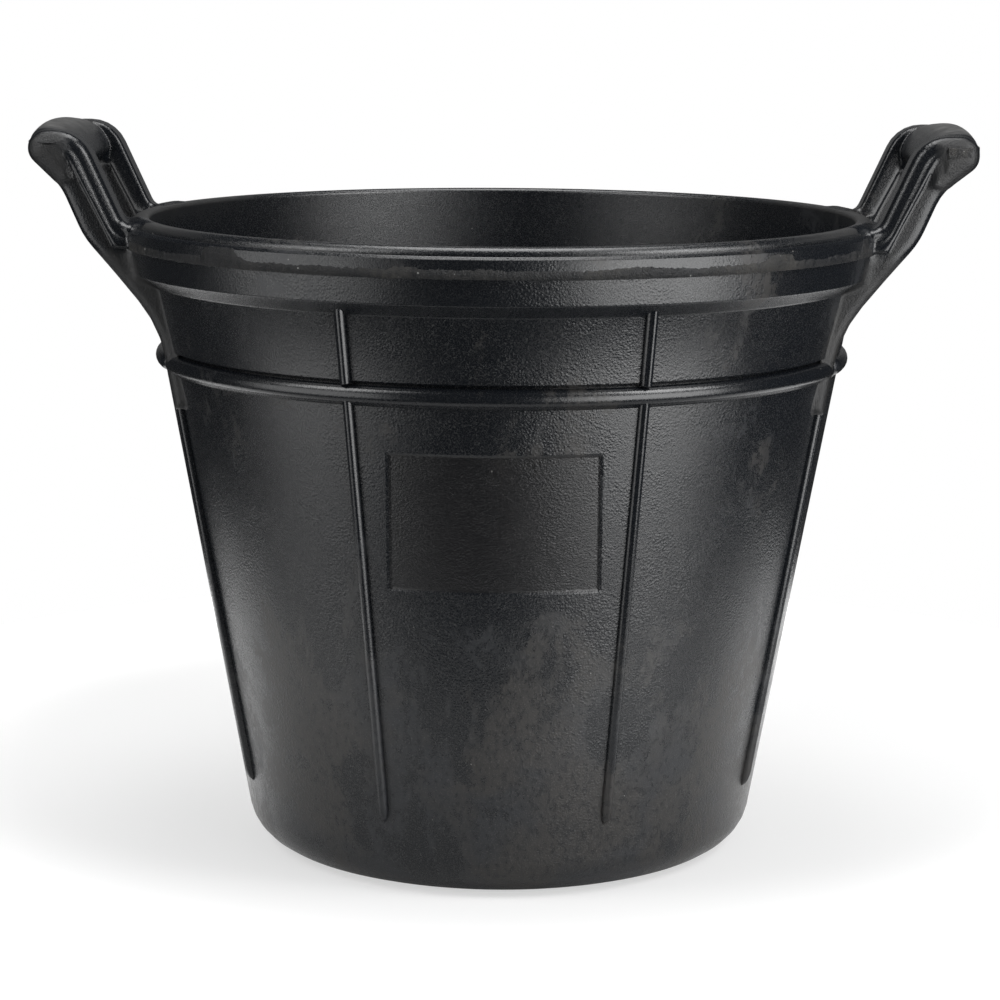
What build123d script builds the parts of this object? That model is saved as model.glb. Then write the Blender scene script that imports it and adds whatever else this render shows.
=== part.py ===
from build123d import *
import math
import os

# A moulded rubber bucket with two cast-on handles. Millimetres, +Z up.
# The origin is the centre of the floor's underside. The handles stand on +X and -X,
# and the bare badge panel faces -Y.

# Vessel
rim_height = 317.0  # floor underside to the top of the lip
base_radius = 125.3  # outer cone carried down to the floor's underside
mouth_radius = 181.8  # outer cone carried up to the top of the lip
wall_thickness = 5.0  # measured level
floor_thickness = 6.5
heel_radius = 21.6  # outside rounding from floor to wall
heel_inner_radius = 17.0  # inside rounding from floor to wall
heel_margin = 2.5  # plain floor or wall kept between the inside rounding and a seam
lip_height = 5.0  # lip above the collar's ledge
lip_flat = 0.4  # between the two roundings of the lip

# Collar under the lip
collar_reach = 9.1  # upper band outside the wall, at its top edge
upper_band_height = 8.5
upper_band_draft = 0.6
band_step = 1.4
lower_band_height = 12.5
lower_band_draft = 3.0
collar_chamfer = 6.0

# Badge panel
panel_width = 98.0
panel_height = 65.4
panel_drop = 60.5  # centre of the panel below the waist hoop
panel_depth = 0.8

# Waist hoop
hoop_drop = 68.5  # centre line below the rim
hoop_section_radius = 5.5
hoop_sink = 1.5  # centre line inside the wall's face

# Ribs
front_rib_angle = 23.4  # either side of the front and back centre lines
side_rib_inset = 1.2  # side rib from the middle of its gusset's foot, towards the handle's centre line
upper_rib_width = 6.6
upper_rib_proud = 2.5
lower_rib_width = 5.8
lower_rib_proud = 2.0
rib_foot_height = 37.0  # where the ribs run out above the floor
rib_run_out = 6.0

# Handle necks, where the arms bend
neck_reach = 14.5  # bending axis outside the collar, at the arm
neck_rise = 7.0  # bending axis above the rim
neck_radius = 13.0  # rounded foot of an arm, about the bending axis
neck_gap = 0.3  # between an arm's foot and its seat

# Handle arms and grips
arm_spacing = 106.0  # between the arms' mid planes
arm_lean = 24.5  # degrees from upright
arm_thickness = 20.4
arm_length = 20.0  # bending axis to the grip
band_width = 22.0  # rounded inner half of an arm
band_rounding = 8.0
web_width = 16.0  # flat outer half of an arm
web_rounding = 2.5
grip_rise = 43.2  # top of the grip above the rim, over the arms
grip_reach = 31.0  # nose of the grip outside the bending axis, at the arms
grip_bow = 3.6  # between the arms the bar stands this much further out
grip_arch = 3.1  # and this much higher
grip_dome = 26.0  # rounding of the bar's ends, from above and from the front
grip_depth = 21.8  # top to underside, between the arms
grip_thickness = 29.6  # nose to back, between the arms
grip_crest_radius = 24.0
grip_top_radius = 9.0
grip_nose_radius = 7.0
grip_back_radius = 8.0
grip_end_rounding = 5.0
nose_height = 13.3  # upright part of the nose, before rounding
nose_slope = 41.3  # degrees, underside of the nose from level

# Gussets under the arms
gusset_width = 13.0
gusset_start = 11.7  # along the arm, below the bending axis
gusset_knee_drop = 50.7  # below the rim, where the gusset leaves the wall's slope
gusset_bend_radius = 25.0
gusset_knee_radius = 60.0
gusset_foot_drop = 21.5  # below the waist hoop
gusset_foot_proud = 4.0  # outside the wall
gusset_foot_draft = 11.3  # degrees from upright
gusset_tilt = 8.5  # degrees, the foot stands wider than the arm
toe_radius = 6.0  # hollow between an arm's root and the lip
toe_drop = 0.5  # toe below the top of the lip

wall_slope = (mouth_radius - base_radius) / rim_height
ledge_height = rim_height - lip_height
hoop_height = rim_height - hoop_drop
gusset_foot_height = hoop_height - gusset_foot_drop
upper_band_foot = ledge_height - upper_band_height
lower_band_foot = upper_band_foot - lower_band_height
collar_foot = lower_band_foot - collar_chamfer
collar_radius = base_radius + wall_slope * ledge_height + collar_reach
collar_step_radius = collar_radius - upper_band_draft - band_step
heel_height = floor_thickness + heel_inner_radius + heel_margin
arm_y = arm_spacing / 2
arm_half = arm_thickness / 2
lean_sin = math.sin(math.radians(arm_lean))
lean_cos = math.cos(math.radians(arm_lean))
hinge_x = math.sqrt(collar_radius**2 - arm_y**2) + neck_reach
hinge_z = rim_height + neck_rise
grip_top = rim_height + grip_rise
nose_x = hinge_x + grip_reach
bar_top = grip_top + grip_arch
bar_nose_x = nose_x + grip_bow
handle_span = arm_spacing + band_width
far = 2 * nose_x  # longer than anything that is cut


def wall_radius(height):
    return base_radius + wall_slope * height


def arm_point(along, out):
    # A point beside a right-hand arm: along it from its bending axis, and outwards from its mid line.
    return (
        hinge_x + along * lean_sin + out * lean_cos,
        hinge_z + along * lean_cos - out * lean_sin,
    )


def along_arm(point):
    return (point.X - hinge_x) * lean_sin + (point.Z - hinge_z) * lean_cos


def meet(first, first_angle, second, second_angle):
    # Where two lines cross, each given by a point and its angle from upright.
    first_run = math.tan(math.radians(first_angle))
    second_run = math.tan(math.radians(second_angle))
    apart = second[0] - first[0] + second_run * (first[1] - second[1])
    rise = apart / (first_run - second_run)
    return (first[0] + first_run * rise, first[1] + rise)


def outline(points, roundings=()):
    # A closed outline in the XZ plane, with some of its corners rounded as far as their two sides allow.
    count = len(points)
    corners = [Vector(x, 0, z) for x, z in points]
    sides = [corners[(i + 1) % count] - corners[i] for i in range(count)]
    turns = [sides[i - 1].get_angle(sides[i]) for i in range(count)]
    radii = [dict(roundings).get(point, 0) for point in points]
    runs = [radii[i] * math.tan(math.radians(turns[i] / 2)) for i in range(count)]
    room = [sides[i].length / max(runs[i] + runs[(i + 1) % count], sides[i].length) for i in range(count)]
    face = Plane.XZ * make_face(Polyline(*points, close=True))
    for i in range(count):
        if radii[i]:
            near = face.vertices().sort_by_distance(corners[i])[0]
            face = fillet(near, radii[i] * min(room[i - 1], room[i]))
    return face


def ring(points, roundings=()):
    return revolve(outline(points, roundings), Axis.Z, 360)


def slab(face, width):
    return extrude(face, amount=width / 2, both=True)


# Vessel: floor disc, heel and wall
floor_corner = (wall_radius(floor_thickness) - wall_thickness, floor_thickness)
wall_head = (wall_radius(ledge_height), ledge_height)
wall_head_inner = (wall_head[0] - wall_thickness, ledge_height)
vessel = ring(
    [(0, 0), (base_radius, 0), wall_head, wall_head_inner, floor_corner, (0, floor_thickness)],
    [((base_radius, 0), heel_radius), (floor_corner, heel_inner_radius)],
)
floor_radius = floor_corner[0] - heel_inner_radius - heel_margin
floor_disc = Pos(0, 0, floor_thickness / 2) * Cylinder(floor_radius, floor_thickness)
pan = split(vessel, bisect_by=Plane.XY.offset(heel_height), keep=Keep.BOTTOM)
heel = pan - floor_disc
panel_skin = ring(
    [
        (base_radius - panel_depth, 0),
        (base_radius + panel_depth, 0),
        (wall_head[0] + panel_depth, ledge_height),
        (wall_head[0] - panel_depth, ledge_height),
    ]
)
panel_window = Pos(0, -far / 2, hoop_height - panel_drop) * Box(panel_width, far, panel_height)
wall = split(vessel, bisect_by=Plane.XY.offset(heel_height), keep=Keep.TOP)
wall = wall - (panel_skin & panel_window)

# Collar and lip
collar_line = [
    (collar_radius, ledge_height),
    (collar_radius - upper_band_draft, upper_band_foot),
    (collar_step_radius, upper_band_foot),
    (collar_step_radius - lower_band_draft, lower_band_foot),
    (wall_radius(collar_foot), collar_foot),
]
collar = ring([wall_head] + collar_line)
lip_corners = [(wall_head[0], rim_height), (wall_head_inner[0], rim_height)]
lip = ring(
    [wall_head_inner, wall_head] + lip_corners,
    [(corner, (wall_thickness - lip_flat) / 2) for corner in lip_corners],
)

# All the space inside the outer faces of vessel, collar and lip, which trims what is cast on to them
filled = ring(
    [(0, 0), (base_radius, 0)]
    + collar_line[::-1]
    + [wall_head, (wall_head[0], rim_height), (0, rim_height)]
)

# Handle on the right: what the arms, the grip and the gussets share
neck_axis = Pos(hinge_x, 0, hinge_z) * Rot(X=90)
neck_foot = neck_axis * Cylinder(neck_radius, far)
neck_seat = neck_axis * Cylinder(neck_radius + neck_gap, far)


def bar(start, end):
    # A length of arm on the XZ plane: a wide band with a rounded inner edge, and a narrower web outside it.
    points = [
        (-arm_half, -band_width / 2),
        (0, -band_width / 2),
        (0, -web_width / 2),
        (arm_half, -web_width / 2),
        (arm_half, web_width / 2),
        (0, web_width / 2),
        (0, band_width / 2),
        (-arm_half, band_width / 2),
    ]
    face = make_face(Polyline(*points, close=True))
    face = fillet(face.vertices().group_by(Axis.X)[0], band_rounding)
    face = fillet(face.vertices().group_by(Axis.X)[-1], web_rounding)
    place = arm_point(start, 0)
    across = Plane(
        origin=(place[0], 0, place[1]),
        x_dir=(lean_cos, 0, -lean_sin),
        z_dir=(lean_sin, 0, lean_cos),
    )
    return extrude(across * face, amount=end - start)


# Arm: a straight bar on a round foot
arm = bar(0, arm_length) + (bar(-neck_radius, 0) & neck_foot)

# Grip: a bowed cross bar with domed ends, and a full-depth block over each arm
nose_top = (nose_x, grip_top)
nose_foot = (nose_x, grip_top - nose_height)
elbow = meet(nose_foot, 90 - nose_slope, arm_point(0, arm_half), arm_lean)
inner_flank = arm_point(0, -arm_half)
crest = (inner_flank[0] + (grip_top - inner_flank[1]) * lean_sin / lean_cos, grip_top)
grip_face = outline(
    [
        arm_point(arm_length, -arm_half),
        crest,
        nose_top,
        nose_foot,
        elbow,
        arm_point(arm_length, arm_half),
    ],
    [(crest, grip_crest_radius), (nose_top, grip_top_radius), (nose_foot, grip_nose_radius)],
)
grip_back = (bar_nose_x - grip_thickness, bar_top - grip_depth)
grip_window = outline(
    [
        grip_back,
        (grip_back[0] + far, grip_back[1]),
        (grip_back[0] + far, grip_back[1] + far),
        (grip_back[0], grip_back[1] + far),
    ],
    [(grip_back, grip_back_radius)],
)


def dome(plane, end):
    # A flat blank through which the bar is cut: as wide as the handle, with its two far corners rounded.
    half = handle_span / 2
    face = make_face(Polyline((0, -half), (end, -half), (end, half), (0, half), close=True))
    face = fillet(face.vertices().group_by(Axis.X)[-1], grip_dome)
    return extrude(plane * face, amount=far, both=True)


from_above = dome(Plane.XY, bar_nose_x)
from_front = dome(Plane(origin=(0, 0, 0), x_dir=(0, 0, 1), z_dir=(-1, 0, 0)), bar_top)
grip = slab(Pos(grip_bow, 0, grip_arch) * grip_face, handle_span) & slab(grip_window, handle_span)
grip = grip & from_above & from_front
block = slab(grip_face, band_width)
block_ends = [edge for edge in block.edges() if math.isclose(edge.center().Y, band_width / 2)]
block = fillet([edge for edge in block_ends if along_arm(edge.center()) > arm_length + neck_gap], grip_end_rounding)
grip = grip + Pos(0, arm_y, 0) * block + mirror(Pos(0, arm_y, 0) * block, about=Plane.XZ)

# Gusset: a leaning plate on the wall, a stub of the arm's own section, and a toe that runs on to the lip
tilt_run = math.tan(math.radians(gusset_tilt))
foot_y = arm_y + (upper_band_foot - gusset_foot_height) * tilt_run
foot_radius = wall_radius(gusset_foot_height) + gusset_foot_proud
gusset_foot = (math.sqrt(foot_radius**2 - foot_y**2), gusset_foot_height)
gusset_bend = arm_point(-gusset_start, arm_half)
knee_height = rim_height - gusset_knee_drop
foot_run = math.tan(math.radians(gusset_foot_draft))
gusset_knee = (gusset_foot[0] + (knee_height - gusset_foot_height) * foot_run, knee_height)
gusset_face = outline(
    [
        arm_point(0, arm_half),
        gusset_bend,
        gusset_knee,
        gusset_foot,
        (0, gusset_foot_height),
        (0, ledge_height),
        (inner_flank[0] - arm_thickness, ledge_height),
        inner_flank,
    ],
    [(gusset_bend, gusset_bend_radius), (gusset_knee, gusset_knee_radius)],
)
toe_height = rim_height - toe_drop
toe_corner = (inner_flank[0] - (inner_flank[1] - toe_height) * lean_sin / lean_cos, toe_height)
toe = slab(
    outline(
        [
            (0, ledge_height),
            (0, toe_height),
            toe_corner,
            inner_flank,
            arm_point(-neck_radius, 0),
            (toe_corner[0], ledge_height),
        ],
        [(toe_corner, toe_radius)],
    ),
    band_width,
)
stub = bar(-far, 0) & slab(gusset_face, band_width)
leaning = Pos(0, arm_y, upper_band_foot) * Rot(X=gusset_tilt) * Pos(0, 0, -upper_band_foot)
plate = leaning * slab(gusset_face, gusset_width)
gusset = plate + Pos(0, arm_y, 0) * (stub + toe) - neck_seat - filled
hoop_gap = leaning * Pos(far / 2, 0, hoop_height) * Box(far, gusset_width, far)


def four_ways(solid):
    # A right-hand back piece, and its mirror images on the other three sides.
    left = mirror(solid, about=Plane.YZ)
    return {
        "right_back": solid,
        "left_back": left,
        "right_front": mirror(solid, about=Plane.XZ),
        "left_front": mirror(left, about=Plane.XZ),
    }


gussets = four_ways(gusset)
arms = four_ways(Pos(0, arm_y, 0) * arm)

# Waist hoop, in four arcs that butt on the gussets
whole_hoop = Pos(0, 0, hoop_height) * Torus(wall_radius(hoop_height) - hoop_sink, hoop_section_radius)
hoop = whole_hoop - filled
for gap in four_ways(hoop_gap + gusset).values():
    hoop = hoop - gap
hoop_along_x = hoop.solids().sort_by(Axis.X)
hoop_along_y = hoop.solids().sort_by(Axis.Y)


def rib(angle, low, high, width, proud):
    # A straight bar up the wall's slope, running out at its foot.
    # The angle is from +X; the blank reaches one rib's width into the wall and is trimmed to it.
    foot = Vector(wall_radius(low), 0, low)
    head = Vector(wall_radius(high), 0, high)
    along = (head - foot).normalized()

    def section(distance, share):
        plane = Plane(origin=foot + along * distance, x_dir=(0, -1, 0), z_dir=along)
        half = share * width / 2
        points = [
            (-half, -width),
            (half, -width),
            (half, 0),
            (half / 2, share * proud),
            (-half / 2, share * proud),
            (-half, 0),
        ]
        return plane * make_face(Polyline(*points, close=True))

    length = (head - foot).length
    blank = loft([section(0, 0.4), section(rib_run_out, 1), section(length, 1)], ruled=True)
    return Rot(Z=angle) * blank - filled - whole_hoop


upper_rib = rib(90 - front_rib_angle, hoop_height, upper_band_foot, upper_rib_width, upper_rib_proud)
lower_rib = rib(90 - front_rib_angle, rib_foot_height, hoop_height, lower_rib_width, lower_rib_proud)
side_rib_angle = math.degrees(math.atan2(foot_y - side_rib_inset, gusset_foot[0]))
side_rib = rib(side_rib_angle, rib_foot_height, hoop_height, lower_rib_width, lower_rib_proud) - gusset
upper_ribs = four_ways(upper_rib)
lower_ribs = four_ways(lower_rib)
side_ribs = four_ways(side_rib)

nodes = {
    "bucket_floor": floor_disc,
    "bucket_heel": heel,
    "bucket_wall": wall,
    "rim_collar": collar,
    "rim_lip": lip,
    "waist_hoop_left": hoop_along_x[0],
    "waist_hoop_right": hoop_along_x[-1],
    "waist_hoop_front": hoop_along_y[0],
    "waist_hoop_back": hoop_along_y[-1],
    "right_grip": grip,
    "left_grip": mirror(grip, about=Plane.YZ),
}
for place in gussets:
    side, end = place.split("_")
    nodes[f"{place}_gusset"] = gussets[place]
    nodes[f"{place}_arm"] = arms[place]
    nodes[f"{place}_side_rib"] = side_ribs[place]
    nodes[f"{end}_{side}_upper_rib"] = upper_ribs[place]
    nodes[f"{end}_{side}_lower_rib"] = lower_ribs[place]

os.makedirs("parts", exist_ok=True)
for name, solid in nodes.items():
    export_step(solid, f"parts/{name}.step")
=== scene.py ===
import math

import bpy
import numpy as np
import openvdb
from mathutils import Matrix, Vector


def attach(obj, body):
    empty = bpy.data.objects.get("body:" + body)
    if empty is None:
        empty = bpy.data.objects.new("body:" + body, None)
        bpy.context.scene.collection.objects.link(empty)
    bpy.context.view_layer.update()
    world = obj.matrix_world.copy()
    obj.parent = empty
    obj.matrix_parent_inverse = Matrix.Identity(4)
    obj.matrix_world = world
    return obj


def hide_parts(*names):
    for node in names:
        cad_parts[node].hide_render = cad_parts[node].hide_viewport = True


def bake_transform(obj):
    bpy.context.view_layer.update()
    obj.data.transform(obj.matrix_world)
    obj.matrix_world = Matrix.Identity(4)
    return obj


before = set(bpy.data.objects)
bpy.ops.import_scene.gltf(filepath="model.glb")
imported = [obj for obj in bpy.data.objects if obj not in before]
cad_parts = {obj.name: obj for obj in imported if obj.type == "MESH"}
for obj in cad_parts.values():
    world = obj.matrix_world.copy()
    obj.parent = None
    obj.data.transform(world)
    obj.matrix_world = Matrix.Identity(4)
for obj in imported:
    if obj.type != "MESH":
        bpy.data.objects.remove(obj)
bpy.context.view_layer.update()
print("frame loaded:", len(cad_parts), "nodes")

mm = 0.001
arcStep = 14.0  # degrees between points on a rounding

# sizes shared by every piece, in millimetres
bucket = {
    "rim": 317.0,
    "baseRadius": 125.3,
    "mouthRadius": 181.8,
    "wall": 5.0,
    "floor": 6.5,
    "ledge": 313.2,
    "hoop": 248.0,
}
wallSlope = (bucket["mouthRadius"] - bucket["baseRadius"]) / bucket["rim"]


def wallRadius(height):
    return bucket["baseRadius"] + wallSlope * height


def smoothStep(low, high, value):
    share = np.clip((value - low) / (high - low), 0, 1)
    return share * share * (3 - 2 * share)


def roundedLine(corners, guard=0.0):
    # (x, y, rounding) corners to points; guard adds a point beside each arc so shading stays tight
    points = []
    for index, (x, y, rounding) in enumerate(corners):
        here = np.array((x, y), float)
        if rounding == 0 or index in (0, len(corners) - 1):
            points.append(here)
            continue
        toLast = np.array(corners[index - 1][:2]) - here
        toNext = np.array(corners[index + 1][:2]) - here
        toLast /= np.linalg.norm(toLast)
        toNext /= np.linalg.norm(toNext)
        half = math.acos(np.clip(toLast @ toNext, -1, 1)) / 2
        run = rounding / math.tan(half)
        middle = (toLast + toNext) / np.linalg.norm(toLast + toNext)
        centre = here + middle * rounding / math.sin(half)
        first = here + toLast * run - centre
        turn = math.pi - 2 * half
        steps = max(3, math.ceil(math.degrees(turn) / arcStep))
        side = np.sign(first[0] * toNext[1] - first[1] * toNext[0]) or 1.0
        if guard:
            points.append(here + toLast * (run + guard))
        for step in range(steps + 1):
            angle = side * turn * step / steps
            cos, sin = math.cos(angle), math.sin(angle)
            turned = (first[0] * cos - first[1] * sin, first[0] * sin + first[1] * cos)
            points.append(centre + np.array(turned))
        if guard:
            points.append(here + toNext * (run + guard))
    return np.array(points)


# Geometry Nodes helpers
def newTree(name, counts, sizes):
    tree = bpy.data.node_groups.new(name, "GeometryNodeTree")
    for way in ("INPUT", "OUTPUT"):
        tree.interface.new_socket("Geometry", in_out=way, socket_type="NodeSocketGeometry")
    for kind, labels in (("NodeSocketInt", counts), ("NodeSocketFloat", sizes)):
        for label in labels:
            tree.interface.new_socket(label, in_out="INPUT", socket_type=kind)
    return tree, tree.nodes.new("NodeGroupInput"), tree.nodes.new("NodeGroupOutput")


def addNode(tree, kind, links=(), **settings):
    node = tree.nodes.new(kind)
    for key, value in settings.items():
        setattr(node, key, value)
    for socket, value in dict(links).items():
        if isinstance(value, bpy.types.NodeSocket):
            tree.links.new(value, node.inputs[socket])
        else:
            node.inputs[socket].default_value = value
    return node


def mathNode(tree, operation, *values):
    return addNode(tree, "ShaderNodeMath", dict(enumerate(values)), operation=operation).outputs[0]


def mapRange(tree, value, fromMin, fromMax, toMin=0.0, toMax=1.0, smooth=False):
    names = {"Value": value, "From Min": fromMin, "From Max": fromMax, "To Min": toMin, "To Max": toMax}
    kind = "SMOOTHSTEP" if smooth else "LINEAR"
    return addNode(tree, "ShaderNodeMapRange", names, interpolation_type=kind).outputs[0]


def closeTree(tree, groupOut, geometry, material):
    real = addNode(tree, "GeometryNodeRealizeInstances", {"Geometry": geometry})
    painted = addNode(tree, "GeometryNodeSetMaterial", {"Geometry": real.outputs[0], "Material": material})
    tree.links.new(painted.outputs[0], groupOut.inputs[0])


def sweptRing(tree, geometry, segments):
    # carries a section round the axis on a circle one metre in radius, so the section moves in by a metre
    profile = addNode(tree, "GeometryNodeMeshToCurve", {"Mesh": geometry}).outputs[0]
    circle = addNode(tree, "GeometryNodeCurvePrimitiveCircle", {"Resolution": segments, "Radius": 1.0})
    shifted = addNode(tree, "GeometryNodeTransform", {"Geometry": profile, "Translation": (-1.0, 0, 0)})
    links = {"Curve": circle.outputs[0], "Profile Curve": shifted.outputs[0]}
    return addNode(tree, "GeometryNodeCurveToMesh", links).outputs[0]


def sweptBar(tree, geometry, path, fromEnd, run, least):
    # carries a section along a path, and rounds it off within a run of where fromEnd is zero
    profile = addNode(tree, "GeometryNodeMeshToCurve", {"Mesh": geometry}).outputs[0]
    back = mathNode(tree, "SUBTRACT", 1.0, mapRange(tree, fromEnd, 0.0, run))
    left = mathNode(tree, "SUBTRACT", 1.0, mathNode(tree, "MULTIPLY", back, back))
    scale = mathNode(tree, "MAXIMUM", mathNode(tree, "SQRT", left), least)
    links = {"Curve": path, "Profile Curve": profile, "Scale": scale, "Fill Caps": True}
    return addNode(tree, "GeometryNodeCurveToMesh", links).outputs[0]


def lineMesh(name, points):
    mesh = bpy.data.meshes.new(name)
    count = len(points)
    edges = [(i, (i + 1) % count) for i in range(count)]
    mesh.from_pydata([(x, y, 0.0) for x, y in points], edges, [])
    return mesh


def sectionMesh(name, points):
    # a section as radius and height, laid out for sweeping
    return lineMesh(name, [(r * mm, -z * mm) for r, z in points[::-1]])


def grown(name, mesh, tree, values):
    # runs a node tree on a mesh and keeps the plain result
    seed = bpy.data.objects.new(name + "Seed", mesh)
    bpy.context.scene.collection.objects.link(seed)
    modifier = seed.modifiers.new("nodes", "NODES")
    modifier.node_group = tree
    sockets = {item.name: item.identifier for item in tree.interface.items_tree if item.in_out == "INPUT"}
    for label, value in values.items():
        modifier[sockets[label]] = value
    result = bpy.data.meshes.new_from_object(seed.evaluated_get(bpy.context.evaluated_depsgraph_get()))
    seed.modifiers.remove(modifier)
    bpy.data.objects.remove(seed)
    return placed(name, result)


def placed(name, mesh):
    mesh.name = name
    piece = bpy.data.objects.new(name, mesh)
    bpy.context.scene.collection.objects.link(piece)
    mesh.polygons.foreach_set("use_smooth", [True] * len(mesh.polygons))
    return piece


def meshFrom(name, points, faces):
    mesh = bpy.data.meshes.new(name)
    mesh.from_pydata([tuple(p) for p in points], [], [tuple(f) for f in faces])
    mesh.validate()
    return placed(name, mesh)


def gridFaces(rows, columns, closed):
    # faces between rows of points; each row is a ring, and closed joins the last row to the first
    faces = []
    for row in range(rows if closed else rows - 1):
        here, there = row * columns, (row + 1) % rows * columns
        for column in range(columns):
            beside = (column + 1) % columns
            faces.append((here + column, here + beside, there + beside, there + column))
    return faces


# materials
def mixColour(tree, share, first, second):
    node = addNode(tree, "ShaderNodeMix", {"Factor": share}, data_type="RGBA")
    for socket, colour in ((6, first), (7, second)):  # the colour sockets A and B
        if isinstance(colour, bpy.types.NodeSocket):
            tree.links.new(colour, node.inputs[socket])
        else:
            node.inputs[socket].default_value = (*colour, 1.0)
    return node.outputs[2]


# noise behind each pattern in the rubber; a scale that isn't here comes from the look
rubberNoise = {
    "runs": {"scale": 0.06, "stretch": (1.0, 1.0, 0.08), "detail": 5.0, "rough": 0.65},
    "cloud": {"stretch": (1.0, 1.0, 0.7), "detail": 9.0, "rough": 0.72, "twist": 0.3},
    "pit": {"stretch": (1.0, 1.0, 0.6), "detail": 4.0, "rough": 0.6},
    "warm": {"scale": 0.016, "detail": 4.0, "rough": 0.6},
    "strewn": {"scale": 0.045, "detail": 4.0, "rough": 0.6},
    "tooth": {"detail": 3.0, "rough": 0.62},
    "brush": {"detail": 4.0, "rough": 0.68},
}
# the span of each pattern over which its mark comes in
rubberFade = {
    "dust": (-0.04, 0.05),
    "pit": (0.38, 0.56),
    "warm": (0.42, 0.58),
    "pebble": (0.75, 0.05),
    "strewn": (0.4, 0.62),
    "paintedGlint": (0.56, 0.72),
    "crumb": (0.42, 0.62),
    "brush": (0.36, 0.68),
}


def rubberFinish(name, look):
    # moulded rubber: satin skin whose blue cast is a painted sheen, dusty bloom, pebbled grain with painted
    # glints, scuffs and pale specks
    material = bpy.data.materials.new(name)
    material.use_nodes = True
    tree = material.node_tree
    shader = tree.nodes["Principled BSDF"]
    shader.inputs["Specular IOR Level"].default_value = look["specular"]
    place = addNode(tree, "ShaderNodeTexCoord").outputs["Object"]
    sized = addNode(tree, "ShaderNodeVectorMath", {0: place, 3: 1.0 / mm}, operation="SCALE").outputs[0]
    height = addNode(tree, "ShaderNodeSeparateXYZ", {0: sized}).outputs[2]

    def calc(operation, *values):
        return mathNode(tree, operation, *values)

    def noise(kind, **own):
        given = {"stretch": None, "twist": 0.0, **rubberNoise[kind], **own}
        spot = sized
        if given["stretch"]:
            links = {0: sized, 1: given["stretch"]}
            spot = addNode(tree, "ShaderNodeVectorMath", links, operation="MULTIPLY").outputs[0]
        links = {"Vector": spot, "Scale": given["scale"], "Detail": given["detail"]}
        links.update({"Roughness": given["rough"], "Distortion": given["twist"]})
        return addNode(tree, "ShaderNodeTexNoise", links).outputs["Fac"]

    def faded(kind, value, low=0.0, high=1.0, smooth=True):
        return mapRange(tree, value, *rubberFade[kind], low, high, smooth)

    # dust: ragged patches, few near the rim and many low on the wall, with upright runs and pits
    cloud = noise("cloud", scale=look["cloud"])
    cloud = calc("MULTIPLY_ADD", calc("SUBTRACT", noise("runs"), 0.5), look["runs"], cloud)
    heights, levels = (look["dustFoot"], look["dustTop"]), (look["dustLow"], look["dustHigh"])
    level = mapRange(tree, height, *heights, *levels, True)
    dust = faded("dust", calc("SUBTRACT", cloud, level), look["film"])
    dust = calc("MULTIPLY", dust, faded("pit", noise("pit", scale=look["pit"]), look["pitLow"]))
    bloom = mixColour(tree, faded("warm", noise("warm")), look["bloomCool"], look["bloomWarm"])
    colour = mixColour(tree, dust, look["skin"], bloom)
    roughness = mapRange(tree, dust, 0.0, 1.0, look["roughLow"], look["roughHigh"])
    # grain: pebbles that come and go, over fine tooth
    pebble = addNode(tree, "ShaderNodeTexVoronoi", {"Vector": sized, "Scale": look["pebble"]})
    pebble = faded("pebble", pebble.outputs["Distance"])
    strewn = faded("strewn", noise("strewn"), look["strewnLow"])
    sleek = addNode(tree, "ShaderNodeAttribute", attribute_name="sleek").outputs["Fac"]
    strewn = calc("MULTIPLY", strewn, calc("SUBTRACT", 1.0, sleek))
    grain = noise("tooth", scale=look["tooth"])
    relief = calc("MULTIPLY", calc("MULTIPLY", pebble, strewn), look["pebbleDeep"])
    relief = calc("MULTIPLY_ADD", grain, look["toothDeep"], relief)
    # painted glints: the colour is lifted towards pale grey where the fine grain is high, standing in for
    # sparkle highlights
    colour = mixColour(tree, faded("paintedGlint", grain, 0.0, look["paintedGlint"], False), colour, look["speck"])
    roughness = calc("ADD", roughness, faded("crumb", grain, -look["crumb"], look["crumb"], False))
    for mask, finish in look["masks"].items():
        # a share painted on the piece: torn, coarse, scuffed or stippled places, and worn grip tops that also
        # carry a painted highlight
        share = addNode(tree, "ShaderNodeAttribute", attribute_name=mask).outputs["Fac"]
        brushed = noise("brush", scale=finish["grain"], stretch=finish["brush"])
        tone = mixColour(tree, faded("brush", brushed, smooth=False), finish["low"], finish["high"])
        colour = mixColour(tree, calc("MULTIPLY", share, finish["cover"]), colour, tone)
        away = calc("SUBTRACT", finish["rough"], roughness)
        roughness = calc("MULTIPLY_ADD", away, share, roughness)
        relief = calc("ADD", relief, calc("MULTIPLY", calc("MULTIPLY", brushed, finish["deep"]), share))
    # specks: small ragged dots in a few cells
    cells = addNode(tree, "ShaderNodeTexVoronoi", {"Vector": sized, "Scale": look["speckScale"]})
    ragged = calc("MULTIPLY_ADD", grain, look["speckSize"] * look["speckRagged"], cells.outputs["Distance"])
    dot = mapRange(tree, ragged, look["speckSize"] * look["speckSoft"], look["speckSize"])
    chosen = addNode(tree, "ShaderNodeSeparateXYZ", {0: cells.outputs["Color"]}).outputs[0]
    speck = calc("MULTIPLY", dot, calc("GREATER_THAN", chosen, look["speckRare"]))
    colour = mixColour(tree, speck, colour, look["speck"])
    tree.links.new(colour, shader.inputs["Base Color"])
    tree.links.new(roughness, shader.inputs["Roughness"])
    bump = addNode(tree, "ShaderNodeBump", {"Height": relief, "Distance": mm, "Strength": 1.0})
    tree.links.new(bump.outputs[0], shader.inputs["Normal"])
    return material


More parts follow.
